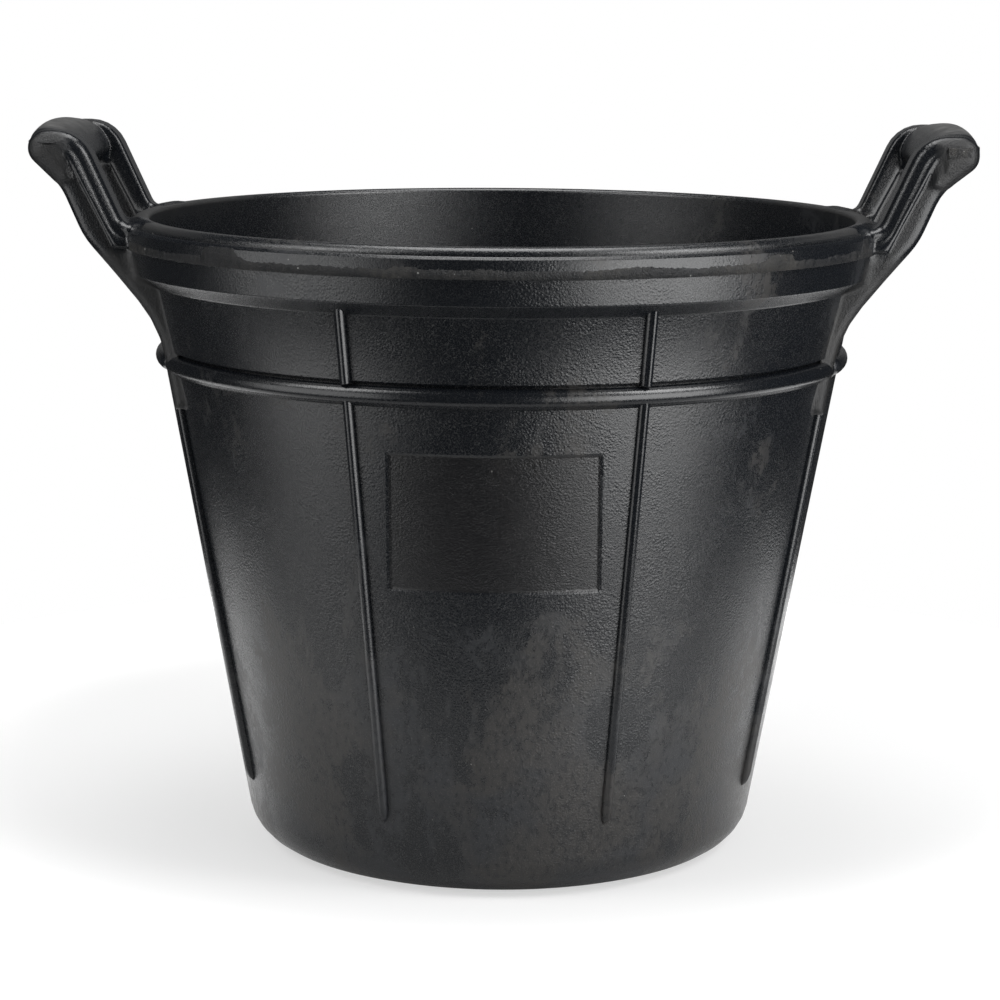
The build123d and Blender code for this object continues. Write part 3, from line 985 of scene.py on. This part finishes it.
def handleMesh(end):
    xs, ys, zs, skin = handleField(end)
    cell, limit = handle["cell"], handle["fieldLimit"]
    whole = np.concatenate([skin[:, ::-1, :], skin], axis=1)
    whole = np.pad(whole, 1, constant_values=limit)
    grid = openvdb.FloatGrid(limit)
    grid.copyFromArray(np.ascontiguousarray(np.clip(whole, -limit, limit), dtype=np.float32))
    points, quads = grid.convertToQuads(0.0)
    start = np.array((xs[0] - cell, -ys[-1] - cell, zs[0] - cell))
    return (evened(points, quads) * cell + start) * mm, quads


# the land left by the mould's parting, round the nose from arm to arm
land = {
    "start": 213.5,
    "sidePoints": 6,
    "cornerPoints": 12,
    "frontPoints": 40,
    "aboveSeam": 0.1,
    "sunk": 2.5,
    "uneven": (0.75, 1.0),
    "wave": 0.12,
    "bevelHigh": 0.35,
    "bevelDeep": 0.3,
    "seed": 11,
}


def landPath(end, span):
    # points round the nose with the way each one faces
    noseX, corner, wide = end["noseX"], handle["noseDeep"], handle["noseWide"]
    path = [(x, -span, 0.0, -1.0) for x in np.linspace(land["start"], noseX - corner, land["sidePoints"])]
    for angle in np.radians(np.linspace(0, 90, land["cornerPoints"])[1:-1]):
        spot = (noseX - corner + corner * math.sin(angle), -span + wide - wide * math.cos(angle))
        facing = np.array((math.sin(angle) * wide, -math.cos(angle) * corner))
        path.append((*spot, *(facing / np.linalg.norm(facing))))
    path += [(noseX, y, 1.0, 0.0) for y in np.linspace(-span + wide, 0.0, land["frontPoints"])]
    return path + [(x, -y, nx, -ny) for x, y, nx, ny in path[-2::-1]]


def landStrip(sideName, sign):
    end = handle[sideName]
    span = handle["armY"] + end["noseHalf"] + end["landStep"]
    path = landPath(end, span)
    dice = np.random.default_rng(land["seed"])
    top, sunk, wave = handle["seam"] + land["aboveSeam"], land["sunk"], land["wave"]
    low = top - end["landHigh"]
    points = []
    for x, y, nx, ny in path:
        bowed = end["bow"] * (1 - min(abs(y) / span, 1) ** 2) * max(nx, 0.0)
        proud = end["landProud"] * dice.uniform(*land["uneven"])
        lift = dice.uniform(-wave, wave)
        section = [
            (-sunk, low),
            (proud, low + lift),
            (proud, top - land["bevelHigh"] + lift),
            (proud - land["bevelDeep"], top + lift),
            (-sunk, top),
        ]
        points += [(sign * (x + bowed + nx * out), y + ny * out, z) for out, z in section]
    rows, ring = len(path), len(section)
    faces = gridFaces(rows, ring, False)
    faces += [tuple(range(ring))[::-1], tuple((rows - 1) * ring + column for column in range(ring))]
    if sign > 0:
        faces = [face[::-1] for face in faces]
    piece = meshFrom(sideName + "Land", np.array(points) * mm, faces)
    piece.data.polygons.foreach_set("use_smooth", [False] * len(piece.data.polygons))
    piece.data.materials.append(flashRubber)
    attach(piece, sideName + "_handle")


for sideName, sign in (("left", -1), ("right", 1)):
    landStrip(sideName, sign)
    points, quads = handleMesh(handle[sideName])
    flipped = points * np.array((sign, 1, 1))
    faces = quads if sign > 0 else quads[:, ::-1]
    piece = meshFrom(sideName + "Handle", flipped, faces)
    piece.data.materials.append(handleRubber)
    paintHandle(piece, handle[sideName])
    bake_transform(piece)
    names = [f"{sideName}_{end}_{part}" for end in ("front", "back") for part in ("arm", "gusset")]
    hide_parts(sideName + "_grip", *names)
    print(piece.name + ":", len(piece.data.polygons), "faces")


# waist hoop: four arcs with flared feet and rounded ends
hoop = {
    "proud": 4.0,
    "halfHeight": 4.85,
    "crownRadius": 3.6,
    "crownShare": 0.86,
    "crownStep": 18.0,
    "headShare": 0.9,
    "sunk": 3.0,
    "sideGap": 19.0,
    "frontGap": 18.9,
    "endRun": 7.0,
    "endSize": 0.12,
    "stepsPerDegree": 6,
}


def hoopProfile():
    tall, crown, sunk = hoop["halfHeight"], hoop["crownRadius"], hoop["sunk"]
    head = tall * hoop["headShare"]
    points = [(-sunk, -tall), (-0.3, -tall - 0.6), (0.35, -tall + 0.3)]
    for step in range(-4, 5):
        angle = math.radians(step * hoop["crownStep"])
        out = hoop["proud"] - crown + crown * math.cos(angle)
        points.append((out, tall * hoop["crownShare"] * math.sin(angle)))
    return points + [(0.5, tall * 0.89), (-0.4, head), (-sunk, head)]


def hoopTree():
    sizes = ["Radius", "Half Sweep", "Direction", "Height", "End Run"]
    tree, given, groupOut = newTree("hoopArc", ["Steps"], sizes)
    value = given.outputs
    sweep = mathNode(tree, "MULTIPLY", value["Half Sweep"], 2.0)
    start = mathNode(tree, "SUBTRACT", value["Direction"], value["Half Sweep"])
    links = {"Resolution": value["Steps"], "Radius": value["Radius"]}
    links.update({"Start Angle": start, "Sweep Angle": sweep})
    arc = addNode(tree, "GeometryNodeCurveArc", links).outputs[0]
    length = addNode(tree, "GeometryNodeCurveLength", {"Curve": arc}).outputs[0]
    spot = addNode(tree, "GeometryNodeSplineParameter").outputs["Length"]
    fromEnd = mathNode(tree, "MINIMUM", spot, mathNode(tree, "SUBTRACT", length, spot))
    swept = sweptBar(tree, value["Geometry"], arc, fromEnd, value["End Run"], hoop["endSize"])
    lift = addNode(tree, "ShaderNodeCombineXYZ", {2: value["Height"]}).outputs[0]
    raised = addNode(tree, "GeometryNodeTransform", {"Geometry": swept, "Translation": lift})
    closeTree(tree, groupOut, raised.outputs[0], trimRubber)
    return tree


arcTree = hoopTree()
for arcName, direction, halfSweep in (
    ("Front", -90.0, 90.0 - hoop["frontGap"]),
    ("Back", 90.0, 90.0 - hoop["frontGap"]),
    ("Left", 180.0, hoop["sideGap"]),
    ("Right", 0.0, hoop["sideGap"]),
):
    piece = grown("waistHoop" + arcName, sectionMesh("hoopLine", hoopProfile()), arcTree, {
        "Radius": wallRadius(bucket["hoop"]) * mm,
        "Half Sweep": math.radians(halfSweep),
        "Direction": math.radians(direction),
        "Height": bucket["hoop"] * mm,
        "End Run": hoop["endRun"] * mm,
        "Steps": int(halfSweep * hoop["stepsPerDegree"]) + 1,
    })
    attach(piece, "bucket")
    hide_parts("waist_hoop_" + arcName.lower())
print("hoop arcs made")


# ribs: straight bars up the wall with flared feet, run out to a point at the lower end
ribs = {
    "lowerWidth": 5.4,
    "lowerProud": 2.0,
    "lowerRunOut": 9.0,
    "upperWidth": 6.2,
    "upperProud": 2.5,
    "upperRunOut": 0.5,
    "endSize": 0.15,
    "steps": 121,
    "foot": 36.5,
    "hoopGap": 4.6,
    "upperHead": 288.0,
    "sideHead": 230.0,
    "frontAngle": 23.4,
    "sideAngle": 21.9,
}


def ribProfile(width, proud):
    half = width / 2
    shape = [(-2.5, half * 0.9), (-0.3, half + 0.6), (0.1, half + 0.15)]
    for step in range(1, 7):
        angle = math.radians(step * 15.0)
        shape.append((proud * (0.12 + 0.88 * math.sin(angle)), half * math.cos(angle)))
    mirrored = [(x, -y) for x, y in shape[-2::-1]]
    return [(x * mm, y * mm) for x, y in shape + mirrored]


def ribTree():
    sizes = ["Low", "High", "Run Out", "Base Radius", "Wall Slope", "Turn"]
    tree, given, groupOut = newTree("wallRib", ["Steps"], sizes)
    value = given.outputs

    def onWall(height):
        across = mathNode(tree, "MULTIPLY_ADD", height, value["Wall Slope"], value["Base Radius"])
        return addNode(tree, "ShaderNodeCombineXYZ", {0: across, 2: height}).outputs[0]

    links = {"Start": onWall(value["Low"]), "End": onWall(value["High"])}
    line = addNode(tree, "GeometryNodeCurvePrimitiveLine", links).outputs[0]
    fine = addNode(tree, "GeometryNodeResampleCurve", {"Curve": line, "Count": value["Steps"]}).outputs[0]
    spot = addNode(tree, "GeometryNodeSplineParameter").outputs["Length"]
    swept = sweptBar(tree, value["Geometry"], fine, spot, value["Run Out"], ribs["endSize"])
    spin = addNode(tree, "ShaderNodeCombineXYZ", {2: value["Turn"]}).outputs[0]
    turned = addNode(tree, "GeometryNodeTransform", {"Geometry": swept, "Rotation": spin})
    closeTree(tree, groupOut, turned.outputs[0], trimRubber)
    return tree


barTree = ribTree()
ribPlan = []
for sideName, middle in (("left", 180.0), ("right", 0.0)):
    for endName, ends in (("front", -90.0), ("back", 90.0)):
        sign = 1.0 if (sideName == "right") == (endName == "front") else -1.0
        angle = ends + sign * ribs["frontAngle"]
        sideAngle = middle - sign * ribs["sideAngle"]
        upperFoot = bucket["hoop"] + ribs["hoopGap"]
        ribPlan += [
            (f"{endName}_{sideName}_upper_rib", angle, upperFoot, ribs["upperHead"], "upper"),
            (f"{endName}_{sideName}_lower_rib", angle, ribs["foot"], bucket["hoop"], "lower"),
            (f"{sideName}_{endName}_side_rib", sideAngle, ribs["foot"], ribs["sideHead"], "lower"),
        ]
for nodeName, angle, low, high, kind in ribPlan:
    line = ribProfile(ribs[kind + "Width"], ribs[kind + "Proud"])
    piece = grown(nodeName.replace("_rib", "_bar"), lineMesh("ribLine", line), barTree, {
        "Steps": ribs["steps"],
        "Low": low * mm,
        "High": high * mm,
        "Run Out": ribs[kind + "RunOut"] * mm,
        "Base Radius": bucket["baseRadius"] * mm,
        "Wall Slope": wallSlope,
        "Turn": math.radians(angle),
    })
    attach(piece, "bucket")
    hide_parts(nodeName)
print("ribs made:", len(ribPlan))


# stage, in metres: a pale round floor, soft boxes low and high on both sides and one overhead, white air
stageLook = {
    "floorSides": 96,
    "floorRadius": 0.47,
    "floorBack": 0.14,
    "floorDrop": 0.0004,
    "floorColour": (0.45, 0.45, 0.45),
    "floorRough": 0.9,
    "floorSpecular": 0.1,
    "floorGlow": 0.55,
    "glowFrom": (0.55, 0.97),
    "floorMirrored": 1.0,
    "mirrorFrom": (-0.15, 0.1),
    "air": 0.15,
    "hall": 0.03,
    "backdrop": 0.2,
    "backdropFrom": (0.9, 0.98),
    "horizon": (-0.2, 0.0),
}


def seenDirectly(tree):
    rays = addNode(tree, "ShaderNodeLightPath").outputs
    mirrored = mathNode(tree, "MAXIMUM", rays["Is Glossy Ray"], rays["Is Transmission Ray"])
    return rays["Is Camera Ray"], mirrored


def layFloor():
    count, radius, back = stageLook["floorSides"], stageLook["floorRadius"], stageLook["floorBack"]
    ring = [(math.cos(math.tau * i / count), math.sin(math.tau * i / count)) for i in range(count)]
    points = [(x * radius, y * radius + back, -stageLook["floorDrop"]) for x, y in [(0.0, 0.0)] + ring]
    faces = [(0, 1 + i, 1 + (i + 1) % count) for i in range(count)]
    floor = meshFrom("studioFloor", points, faces)
    paper = bpy.data.materials.new("studioPaper")
    paper.use_nodes = True
    tree = paper.node_tree
    shader = tree.nodes["Principled BSDF"]
    shader.inputs["Base Color"].default_value = (*stageLook["floorColour"], 1.0)
    shader.inputs["Roughness"].default_value = stageLook["floorRough"]
    shader.inputs["Specular IOR Level"].default_value = stageLook["floorSpecular"]
    shader.inputs["Emission Color"].default_value = (1.0, 1.0, 1.0, 1.0)
    seen, mirrored = seenDirectly(tree)
    place = addNode(tree, "ShaderNodeTexCoord").outputs["Object"]
    links = {0: place, 1: (0.0, back, 0.0)}
    away = addNode(tree, "ShaderNodeVectorMath", links, operation="DISTANCE").outputs["Value"]
    inner, outer = (radius * share for share in stageLook["glowFrom"])
    edge = mapRange(tree, away, inner, outer, stageLook["floorGlow"], 1.0, True)
    along = addNode(tree, "ShaderNodeSeparateXYZ", {0: place}).outputs[1]
    behind = mapRange(tree, along, *stageLook["mirrorFrom"], 0.0, stageLook["floorMirrored"], True)
    glow = mathNode(tree, "MULTIPLY_ADD", mirrored, behind, mathNode(tree, "MULTIPLY", seen, edge))
    tree.links.new(glow, shader.inputs["Emission Strength"])
    floor.data.materials.append(paper)


def fillAir():
    world = bpy.data.worlds.new("studioAir")
    bpy.context.scene.world = world
    world.use_nodes = True
    tree = world.node_tree
    seen, mirrored = seenDirectly(tree)
    way = addNode(tree, "ShaderNodeTexCoord").outputs["Generated"]
    way = addNode(tree, "ShaderNodeSeparateXYZ", {0: way}).outputs
    behind = mapRange(tree, way[1], *stageLook["backdropFrom"], smooth=True)
    above = mapRange(tree, way[2], *stageLook["horizon"], smooth=True)
    room = mathNode(tree, "MULTIPLY", mathNode(tree, "MULTIPLY", behind, above), stageLook["backdrop"])
    room = mathNode(tree, "MAXIMUM", room, stageLook["hall"])  # the hall in front and below is dark
    strength = mathNode(tree, "ADD", seen, mathNode(tree, "MULTIPLY", mirrored, room))
    other = mathNode(tree, "SUBTRACT", 1.0, mathNode(tree, "MAXIMUM", seen, mirrored))
    strength = mathNode(tree, "MULTIPLY_ADD", other, stageLook["air"], strength)
    tree.links.new(strength, tree.nodes["Background"].inputs["Strength"])
    tree.nodes["Background"].inputs["Color"].default_value = (1.0, 1.0, 1.0, 1.0)


layFloor()
fillAir()

lamps = {
    "leftLow": {"place": (-0.93, -0.58, 0.13), "aim": (0.0, 0.0, 0.13), "size": (0.9, 0.84), "power": 4.1},
    "rightLow": {"place": (0.79, -0.76, 0.13), "aim": (0.0, 0.0, 0.13), "size": (0.98, 0.84), "power": 10.8},
    "leftHigh": {"place": (-0.87, -0.5, 1.1), "aim": (0.0, 0.0, 0.3), "size": (0.6, 0.66), "power": 6.0},
    "rightHigh": {"place": (0.87, -0.5, 1.1), "aim": (0.0, 0.0, 0.3), "size": (0.6, 0.66), "power": 9.5},
    "topBox": {"place": (0.0, 0.15, 1.5), "aim": (0.0, 0.0, 0.3), "size": (0.85, 0.95), "power": 13.0},
}
for lampName, lamp in lamps.items():
    data = bpy.data.lights.new(lampName, "AREA")
    data.shape = "RECTANGLE"
    data.size, data.size_y = lamp["size"]
    data.energy = lamp["power"]
    light = bpy.data.objects.new(lampName, data)
    light.location = lamp["place"]
    light.rotation_mode = "QUATERNION"
    light.rotation_quaternion = (Vector(lamp["aim"]) - Vector(lamp["place"])).to_track_quat("-Z", "Y")
    bpy.context.scene.collection.objects.link(light)

camera = {
    "distance": 1.4745,
    "height": 0.437,
    "pitch": 10.21,
    "azimuth": 1.1,
    "roll": 0.35,
    "lens": 105.815,
    "sensor": 36.0,
    "shift": -0.0008,
    "nearest": 0.05,
}
cameraData = bpy.data.cameras.new("camera")
cameraData.lens = camera["lens"]
cameraData.sensor_width = camera["sensor"]
cameraData.shift_x = camera["shift"]
cameraData.clip_start = camera["nearest"]
view = bpy.data.objects.new("camera", cameraData)
bpy.context.scene.collection.objects.link(view)
turned = Matrix.Rotation(math.radians(camera["azimuth"]), 4, "Z")
turned = turned @ Matrix.Translation((0, -camera["distance"], camera["height"]))
turned = turned @ Matrix.Rotation(math.radians(90.0 - camera["pitch"]), 4, "X")
view.matrix_world = turned @ Matrix.Rotation(math.radians(camera["roll"]), 4, "Z")
bpy.context.scene.camera = view
bpy.context.scene.view_settings.view_transform = "Standard"
print("stage set")
